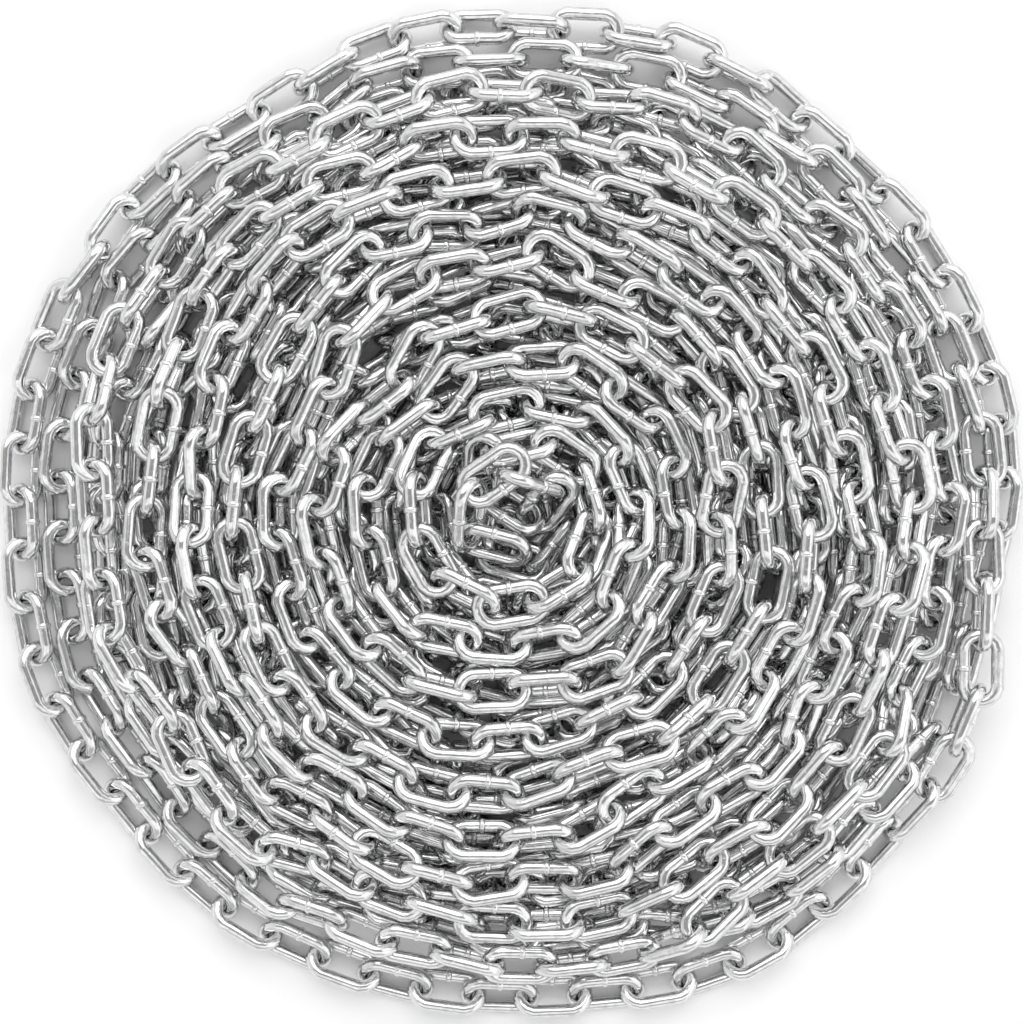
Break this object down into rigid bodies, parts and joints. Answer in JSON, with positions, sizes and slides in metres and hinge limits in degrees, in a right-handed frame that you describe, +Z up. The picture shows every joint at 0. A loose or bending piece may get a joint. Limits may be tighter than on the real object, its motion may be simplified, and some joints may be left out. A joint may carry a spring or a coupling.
{
  "type": "heap of steel chain",
  "caption": "Short-link welded steel chain laid down unheld as a low round heap, coiled in a spiral with its loose end in the middle.",
  "frame": {"origin": "middle of the heap's footprint, on the floor", "axes": "+Z up, away from the floor; +X through the place where the outer turn starts; +Y across it"},
  "size_m": [0.3924, 0.3848, 0.0416],
  "materials": {
    "steel_wire": "bright zinc plated drawn wire"
  },
  "bodies": {
    "root": {"hidden_lays": "steel_wire", "turn_01": "steel_wire", "turn_02": "steel_wire", "turn_03": "steel_wire", "turn_04": "steel_wire", "turn_05": "steel_wire", "turn_06": "steel_wire", "turn_07": "steel_wire", "turn_08": "steel_wire", "turn_09": "steel_wire", "end_link_01": "steel_wire", "end_link_02": "steel_wire", "end_link_03": "steel_wire", "end_link_04": "steel_wire", "end_link_05": "steel_wire", "end_link_06": "steel_wire", "end_link_07": "steel_wire", "end_link_08": "steel_wire", "end_link_09": "steel_wire", "end_link_10": "steel_wire", "end_link_11": "steel_wire"}
  },
  "joints": []
}
